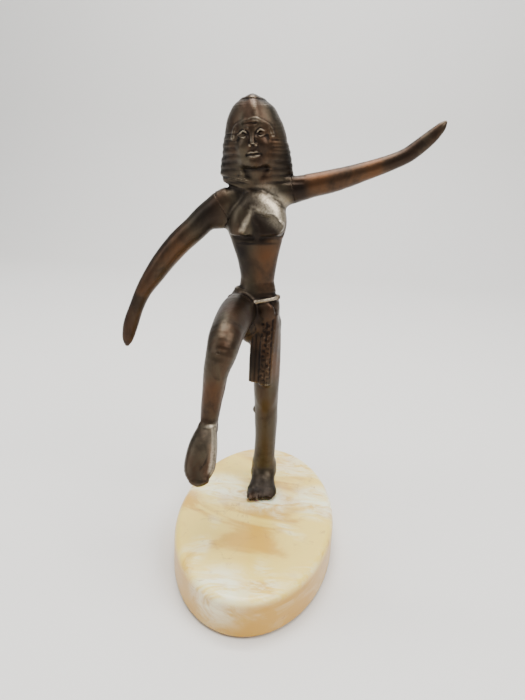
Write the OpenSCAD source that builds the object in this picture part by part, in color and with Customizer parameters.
// Cast dancing figure on an oval stone base.
// Origin: centre of the underside of the felt pad. +Z up, the figure faces -Y.
// The figure is laid out on a canon grid: its height is 18 squares, counted from the sole.

/* [Stone base] */
// Width of the oval stone across the figure
base_w = 90; // [80:1:120]
// Length of the oval stone, front to back
base_l = 160; // [140:1:200]
// Thickness of the stone
base_t = 20; // [15:1:26]
// Radius that softens the stone's rims
base_edge_r = 3.5; // [1:0.5:5]
// Thickness of the felt under the stone
felt_t = 1; // [0.6:0.1:2]
// How far the felt stays inside the stone's outline
felt_inset = 4; // [2:0.5:8]

/* [Place of the figure on the stone] */
// Stud axis to the right of the stone's centre
stand_x = 2; // [-6:0.5:6]
// Stud axis behind the stone's centre
stand_y = 30; // [10:1:36]

/* [Figure height] */
// Sole to the top of the headdress
figure_h = 227; // [190:1:275]

/* [Figure girths] */
// Ankle width of the standing leg
ankle_w = 11.8; // [10.5:0.1:15]
// Calf width of the standing leg
calf_w = 13.6; // [11:0.1:17]
// Knee width of the standing leg
knee_w = 14.2; // [12:0.1:18]
// Width of the standing thigh
thigh_w = 19; // [16:0.5:23]
// Width across the hips
hips_w = 28; // [25:0.5:34]
// Waist width
waist_w = 19.5; // [17:0.5:24]
// Chest width at the bust
bust_w = 30.5; // [27:0.5:36]
// Width of the torso between the arms
shoulder_w = 32; // [28:0.5:38]
// Neck width
neck_w = 14; // [11:0.5:17]
// Face width inside the headdress
face_w = 23; // [20:0.5:27]
// Widest part of the headdress, at the tips of its lappets
lappet_w = 36.6; // [33:0.5:42]
// Arm width next to the shoulder
upper_arm_w = 13; // [11.5:0.5:15]
// Wrist width
wrist_w = 8.4; // [7:0.2:10]
// Thickness of a hand, palm to back
hand_t = 5.4; // [4:0.2:7]
// Width of the raised thigh next to the hip
raised_thigh_w = 20; // [17:0.5:23]
// Width of the raised knee
raised_knee_w = 17.4; // [14:0.2:20]
// Width of the raised ankle
raised_ankle_w = 10.2; // [8.5:0.1:13]
// Widest part of a foot
foot_w = 17.4; // [14:0.2:20]
// Length of the standing foot
foot_l = 31; // [27:0.5:38]

/* [Apron] */
// Width of the hanging cloth
apron_w = 15; // [13:0.5:18]
// Thickness of the hanging cloth
apron_t = 3.4; // [2.5:0.1:5]
// Number of folds in the cloth
apron_folds = 5; // [3:1:7]

/* [Limb joints] */
// Diameter of a shoulder spigot
arm_spigot_d = 5; // [4:0.5:6]
// Diameter of the hip spigot
leg_spigot_d = 8; // [6:0.5:9]
// Length of a spigot
spigot_l = 8; // [6:0.5:10]
// Gap all round a spigot, filled when the limb is brazed on
braze_gap = 0.06; // [0.03:0.01:0.15]

/* [Fixing under the base] */
// Stud diameter
stud_d = 5; // [4:0.5:6]
// How far the stud screws into the ankle
stud_grip = 13; // [8:0.5:16]
// Hole through the stone, wider than the stud by this much
stud_play = 1; // [0.5:0.1:2]
// Gap between the stud and what is screwed on it
thread_gap = 0.05; // [0.02:0.01:0.1]
// Diameter of the pocket for the nut under the stone
pocket_d = 17; // [16:0.5:22]
// Outside diameter of the flat washer
washer_d = 14; // [12:0.5:15]
// Thickness of the flat washer
washer_t = 1; // [0.8:0.1:1.6]
// Outside diameter of the spring washer
spring_d = 8.6; // [8:0.2:11]
// Thickness of the spring washer
spring_t = 1.2; // [1:0.1:1.6]
// Size of the nut across its flats
nut_af = 8; // [7.5:0.5:10]
// Height of the nut
nut_h = 4; // [3:0.2:5]

/* [Hidden] */

sq = figure_h / 18;
sides = 20;
steps = 2;
top_z = felt_t + base_t;
stud_end_gap = 0.8;
stud_past_nut = 0.5;
pocket_h = washer_t + spring_t + nut_h + stud_past_nut + stud_end_gap;
bronze = "#5b4a3a";
steel = "silver";

// ---------- lofted shapes ----------
// A station is [x, y, z, half width, half depth].

function unit(v) = v / norm(v);
function place(st) = [st[0], st[1], st[2]];

// Point of a smooth curve through four stations, between the middle two
function between(a, b, c, d, t) =
    0.5 * (2 * b + (c - a) * t + (2 * a - 5 * b + 4 * c - d) * t * t
        + (3 * b - a - 3 * c + d) * t * t * t);

// The stations with more of them laid in between on a smooth curve
function smooth(list) = [
    for (i = [0 : len(list) - 2])
        for (k = [0 : steps - 1])
            between(list[max(i - 1, 0)], list[i], list[i + 1],
                list[min(i + 2, len(list) - 1)], k / steps),
    list[len(list) - 1]
];

// Direction of the path at one station
function heading(list, i) =
    unit(place(list[min(i + 1, len(list) - 1)]) - place(list[max(i - 1, 0)]));

// One oval ring, its width along "across" and its plane square to "along"
function ring(st, along, across) =
    let (u = unit(across - (across * along) * along), v = cross(along, u))
    [for (k = [0 : sides - 1])
        place(st) + st[3] * cos(360 * k / sides) * u + st[4] * sin(360 * k / sides) * v];

// A closed skin over rings that all have the same number of points
module skin(rings) {
    n = len(rings[0]);
    last = (len(rings) - 1) * n;
    polyhedron(
        points = [for (r = rings) for (p = r) p],
        faces = [
            [for (k = [0 : n - 1]) k],
            for (i = [0 : len(rings) - 2])
                for (k = [0 : n - 1])
                    let (a = i * n + k, b = i * n + (k + 1) % n)
                    each [[a, a + n, b + n], [a, b + n, b]],
            [for (k = [0 : n - 1]) last + n - 1 - k]
        ],
        convexity = 6
    );
}

// A limb swept along its stations, its first ring square to "start"
module limb(list, across, start) {
    path = smooth(list);
    skin([for (i = [0 : len(path) - 1])
        ring(path[i], i == 0 ? unit(start) : heading(path, i), across)]);
}

// A shape of level rings stacked upwards
module stack(list) {
    path = smooth(list);
    skin([for (st = path) ring(st, [0, 0, 1], [1, 0, 0])]);
}

// Turns +Z to point along a direction, at a point
module along(point, direction) {
    d = unit(direction);
    translate(point)
        rotate([0, acos(d[2]), atan2(d[1], d[0])])
            children();
}

// ---------- the figure's own frame: the stud axis on the stone's top ----------

module on_stone() {
    translate([stand_x, stand_y, top_z])
        children();
}

// Joint planes of the limbs: a point on the limb's centre line and its direction away from the body
raised_joint = [0.55, -0.16, 14.2] * sq;
raised_dir = [0.97, 0, 0.2];
lowered_joint = [-2.6, -0.16, 13.55] * sq;
lowered_dir = [-0.82, 0, -0.57];
hip_joint = [-1.56, -0.95, 8.95] * sq;
hip_dir = [-0.06, -0.97, -0.22];

raised_arm_root = [upper_arm_w / 2, upper_arm_w / 2];
lowered_arm_root = [upper_arm_w / 2 + 1, upper_arm_w / 2];
thigh_root = [raised_thigh_w / 2, raised_thigh_w / 2];

// Station at a point of the canon grid
function at(x, y, z, half) = [x * sq, y * sq, z * sq, half[0], half[1]];
function from(point, half) = [point[0], point[1], point[2], half[0], half[1]];

// Standing leg, hips, waist, chest, neck and head core, from the ankle up
function trunk() = [
    at(-0.08, 0.05, 0.5, [ankle_w / 2 + 0.4, ankle_w / 2 + 1]),
    at(-0.08, 0.05, 1.3, [ankle_w / 2 + 0.3, ankle_w / 2 + 0.8]),
    at(-0.08, 0.02, 2.2, [ankle_w / 2, ankle_w / 2 + 0.6]),
    at(-0.12, 0.12, 3.7, [calf_w / 2, calf_w / 2 + 0.8]),
    at(-0.16, 0, 4.8, [knee_w / 2, knee_w / 2 + 0.4]),
    at(-0.28, 0.05, 6.3, [thigh_w / 2 - 0.8, thigh_w / 2]),
    at(-0.5, 0.05, 7.5, [thigh_w / 2 + 1.5, thigh_w / 2 + 0.5]),
    at(-0.9, 0.1, 8.5, [hips_w / 2, hips_w * 0.37]),
    at(-0.95, 0.08, 9.3, [hips_w / 2 - 0.5, hips_w * 0.35]),
    at(-0.86, -0.05, 10.3, [waist_w / 2, waist_w * 0.37]),
    at(-0.88, -0.12, 11.2, [waist_w / 2 + 1.8, waist_w * 0.41]),
    at(-0.98, -0.25, 12.4, [bust_w / 2, bust_w * 0.34]),
    at(-1.04, -0.14, 13.5, [shoulder_w / 2, shoulder_w * 0.26]),
    at(-1.02, -0.12, 14.1, [shoulder_w / 2 - 1.5, shoulder_w * 0.23]),
    at(-1.0, -0.12, 14.4, [shoulder_w / 2 - 6, shoulder_w * 0.22]),
    at(-0.96, -0.15, 14.75, [neck_w / 2, neck_w / 2]),
    at(-0.98, -0.28, 15.1, [neck_w / 2, neck_w / 2 + 1]),
    at(-1.02, -0.42, 15.45, [face_w / 2 - 2.5, face_w / 2 + 0.5]),
    at(-1.12, -0.42, 16.3, [face_w / 2, face_w / 2 + 2.3]),
    at(-1.22, -0.4, 17.1, [face_w / 2 - 1, face_w / 2]),
    at(-1.3, -0.4, 17.6, [face_w / 2 - 5, face_w / 2 - 4])
];

// Headdress: a dome over the head that spreads to two lappets on the shoulders
function headdress() = [
    at(-0.98, -0.25, 14.35, [lappet_w / 2 - 1.5, 8.5]),
    at(-1.0, -0.28, 14.9, [lappet_w / 2, 10]),
    at(-1.03, -0.3, 15.4, [lappet_w / 2, 11]),
    at(-1.12, -0.35, 16.2, [lappet_w / 2 - 1.8, 12.4]),
    at(-1.22, -0.4, 16.9, [lappet_w / 2 - 3.8, 13.2]),
    at(-1.3, -0.38, 17.4, [lappet_w / 2 - 6.4, 11.4]),
    at(-1.37, -0.36, 17.8, [lappet_w / 2 - 10.6, 7.2]),
    at(-1.38, -0.36, 18, [1.6, 1.4])
];

function raised_arm_path() = [
    from(raised_joint, raised_arm_root),
    at(1.45, -0.16, 14.42, [upper_arm_w / 2 - 0.2, upper_arm_w / 2 - 0.4]),
    at(2.2, -0.16, 14.68, [upper_arm_w / 2 - 0.4, upper_arm_w / 2 - 0.5]),
    at(3.45, -0.16, 15.16, [wrist_w / 2 + 0.9, wrist_w / 2 + 0.7]),
    at(4.6, -0.16, 15.6, [wrist_w / 2, wrist_w / 2 - 0.2]),
    at(5.25, -0.16, 15.94, [wrist_w / 2, wrist_w / 2 - 0.4]),
    at(5.7, -0.16, 16.36, [wrist_w / 2 - 0.2, hand_t / 2 + 0.3]),
    at(6.15, -0.16, 16.8, [wrist_w / 2 - 0.6, hand_t / 2]),
    at(6.5, -0.16, 17.18, [wrist_w / 2 - 2, hand_t / 2 - 0.7]),
    at(6.58, -0.16, 17.28, [1, 0.8])
];

function lowered_arm_path() = [
    from(lowered_joint, lowered_arm_root),
    at(-3.3, -0.16, 12.97, [upper_arm_w / 2 + 0.3, upper_arm_w / 2 - 0.2]),
    at(-4.05, -0.16, 12.13, [upper_arm_w / 2 + 0.3, upper_arm_w / 2 - 0.4]),
    at(-5.05, -0.16, 11, [upper_arm_w / 2, upper_arm_w / 2 - 0.8]),
    at(-5.85, -0.16, 9.83, [wrist_w / 2 + 1, wrist_w / 2 + 0.7]),
    at(-6.4, -0.16, 8.75, [wrist_w / 2, wrist_w / 2 - 0.2]),
    at(-6.66, -0.16, 8.1, [wrist_w / 2 + 0.4, hand_t / 2 + 0.6]),
    at(-6.84, -0.16, 7.45, [wrist_w / 2 + 0.2, hand_t / 2 + 0.2]),
    at(-6.94, -0.16, 6.9, [wrist_w / 2 - 1, hand_t / 2 - 0.3]),
    at(-6.97, -0.16, 6.66, [1.2, 0.9])
];

function raised_leg_path() = [
    from(hip_joint, thigh_root),
    at(-1.64, -1.8, 8.78, [raised_thigh_w / 2 - 0.2, raised_thigh_w / 2 - 0.4]),
    at(-1.7, -2.7, 8.55, [raised_knee_w / 2 + 0.4, raised_knee_w / 2 + 0.4]),
    at(-1.75, -3.35, 8.25, [raised_knee_w / 2, raised_knee_w / 2 + 0.2]),
    at(-1.82, -3.72, 7.8, [raised_knee_w / 2 - 0.8, raised_knee_w / 2 - 0.6]),
    at(-2.0, -3.78, 7.1, [raised_knee_w / 2 - 1.9, raised_knee_w / 2 - 1.4]),
    at(-2.1, -3.72, 6.3, [raised_ankle_w / 2 + 0.7, raised_ankle_w / 2 + 1.4]),
    at(-2.19, -3.72, 5.4, [raised_ankle_w / 2, raised_ankle_w / 2 + 0.6]),
    at(-2.24, -3.8, 4.86, [raised_ankle_w / 2 + 0.5, raised_ankle_w / 2 + 0.9]),
    at(-2.3, -4.05, 4.38, [raised_ankle_w / 2 + 1.4, raised_ankle_w / 2 + 0.9]),
    at(-2.34, -4.5, 3.92, [foot_w / 2 - 0.7, raised_ankle_w / 2 - 0.6]),
    at(-2.34, -4.95, 3.5, [foot_w / 2 - 0.2, raised_ankle_w / 2 - 1.4]),
    at(-2.24, -5.4, 3.1, [foot_w / 2 - 1.4, 2.4]),
    at(-2.12, -5.65, 2.86, [foot_w / 2 - 4.2, 1.4])
];

// Half outline of the standing foot: [place along it, half width, height], heel to toes, as shares
function foot_shape() = [
    [-0.3, 0.45, 0.45], [-0.26, 0.66, 0.75], [-0.1, 0.78, 0.9], [0.1, 0.8, 0.85],
    [0.3, 0.88, 0.62], [0.48, 1, 0.45], [0.6, 0.97, 0.36], [0.67, 0.84, 0.26], [0.7, 0.6, 0.16]
];
foot_h = ankle_w;
foot_x = -0.03 * sq;

// Foot with a flat sole, standing on the stone
module standing_foot() {
    half = sides / 2;
    skin([for (f = foot_shape())
        [for (k = [0 : half])
            [foot_x + foot_w / 2 * f[1] * cos(180 * k / half), -foot_l * f[0],
                foot_h * f[2] * sin(180 * k / half)]]
    ]);
}

// Hanging cloth in front of the standing thigh, with folds down its front
apron_top = [-0.44, -0.62, 9.2] * sq;
apron_bottom_z = 5.35 * sq;
module apron() {
    fold_w = apron_w / apron_folds;
    fold_d = apron_t * 0.25;
    front = apron_top[1] - apron_t;
    translate([apron_top[0], 0, apron_bottom_z])
        linear_extrude(apron_top[2] - apron_bottom_z)
            polygon([
                [apron_w / 2, apron_top[1] + apron_t],
                [-apron_w / 2, apron_top[1] + apron_t],
                for (k = [0 : apron_folds])
                    each [[(k - apron_folds / 2) * fold_w, front + fold_d],
                        if (k < apron_folds) [(k + 0.5 - apron_folds / 2) * fold_w, front - fold_d]]
            ]);
}

module socket(point, direction, d) {
    along(point, -direction)
        translate([0, 0, -1])
            cylinder(h = spigot_l + 1 + braze_gap, d = d + 2 * braze_gap, $fn = 64);
}

module spigot(point, direction, d) {
    along(point, -direction)
        translate([0, 0, -1])
            cylinder(h = spigot_l + 1, d = d, $fn = 64);
}

// Short root on the body that a limb butts against; it starts inside the torso
module root(point, direction, half, inward, across) {
    d = unit(direction);
    limb([
        from(point - d * inward, half - [0.6, 0.6]),
        from(point - d * inward / 2, half - [0.2, 0.2]),
        from(point, half)
    ], across, d);
}

arm_inward = 9;
thigh_inward = 9;

module body_casting() {
    color(bronze)
        on_stone()
            difference() {
                union() {
                    stack(trunk());
                    stack(headdress());
                    standing_foot();
                    apron();
                    root(raised_joint, raised_dir, raised_arm_root, arm_inward, [0, 0, 1]);
                    root(lowered_joint, lowered_dir, lowered_arm_root, arm_inward, [0, 0, 1]);
                    root(hip_joint, hip_dir, thigh_root, thigh_inward, [1, 0, 0]);
                }
                socket(raised_joint, raised_dir, arm_spigot_d);
                socket(lowered_joint, lowered_dir, arm_spigot_d);
                socket(hip_joint, hip_dir, leg_spigot_d);
                translate([0, 0, -1])
                    cylinder(h = stud_grip + 1 + stud_end_gap, d = stud_d + 2 * thread_gap, $fn = 64);
            }
}

module raised_arm() {
    color(bronze)
        on_stone() {
            limb(raised_arm_path(), [0, 0, 1], raised_dir);
            spigot(raised_joint, raised_dir, arm_spigot_d);
        }
}

module lowered_arm() {
    color(bronze)
        on_stone() {
            limb(lowered_arm_path(), [0, 0, 1], lowered_dir);
            spigot(lowered_joint, lowered_dir, arm_spigot_d);
        }
}

module raised_leg() {
    color(bronze)
        on_stone() {
            limb(raised_leg_path(), [1, 0, 0], hip_dir);
            spigot(hip_joint, hip_dir, leg_spigot_d);
        }
}

// ---------- base and fixing ----------

// Outline of the oval, smaller by an inset
oval_sides = 72;
function oval(inset) = [for (k = [0 : oval_sides - 1])
    [(base_w / 2 - inset) * cos(360 * k / oval_sides),
        (base_l / 2 - inset) * sin(360 * k / oval_sides)]];

// Rings of the stone, rounded at both rims
edge_steps = 4;
function rim(z, up) = [for (k = [0 : edge_steps])
    let (turn = up ? 90 * k / edge_steps : 90 - 90 * k / edge_steps,
        lift = base_edge_r * sin(turn) * (up ? 1 : -1))
    [for (p = oval(base_edge_r * (1 - cos(turn)))) [p[0], p[1], z + lift]]];

module stone_base() {
    color("#e3c994")
        difference() {
            skin(concat(rim(felt_t + base_edge_r, false), rim(top_z - base_edge_r, true)));
            translate([stand_x, stand_y, felt_t - 1])
                cylinder(h = base_t + 2, d = stud_d + stud_play, $fn = 64);
            translate([stand_x, stand_y, felt_t - 1])
                cylinder(h = pocket_h + 1, d = pocket_d, $fn = 64);
        }
}

module felt_pad() {
    color("darkgreen")
        linear_extrude(felt_t)
            polygon(oval(felt_inset));
}

// Heights of the fixing, from the pocket's ceiling down
washer_z = felt_t + pocket_h - washer_t;
spring_z = washer_z - spring_t;
nut_z = spring_z - nut_h;

module mounting_stud() {
    color(steel)
        translate([stand_x, stand_y, nut_z - stud_past_nut])
            cylinder(h = top_z + stud_grip - nut_z + stud_past_nut, d = stud_d, $fn = 64);
}

module flat_washer() {
    color(steel)
        translate([stand_x, stand_y, washer_z])
            difference() {
                cylinder(h = washer_t, d = washer_d, $fn = 64);
                translate([0, 0, -1])
                    cylinder(h = washer_t + 2, d = stud_d + stud_play / 2, $fn = 64);
            }
}

module spring_washer() {
    split_w = 1;
    color(steel)
        translate([stand_x, stand_y, spring_z])
            difference() {
                cylinder(h = spring_t, d = spring_d, $fn = 64);
                translate([0, 0, -1])
                    cylinder(h = spring_t + 2, d = stud_d + stud_play / 4, $fn = 64);
                translate([0, -split_w / 2, -1])
                    cube([spring_d, split_w, spring_t + 2]);
            }
}

module hex_nut() {
    color(steel)
        translate([stand_x, stand_y, nut_z])
            difference() {
                cylinder(h = nut_h, d = nut_af / cos(30), $fn = 6);
                translate([0, 0, -1])
                    cylinder(h = nut_h + 2, d = stud_d + 2 * thread_gap, $fn = 64);
            }
}

stone_base();
body_casting();
raised_arm();
lowered_arm();
raised_leg();
mounting_stud();
flat_washer();
spring_washer();
hex_nut();
felt_pad();
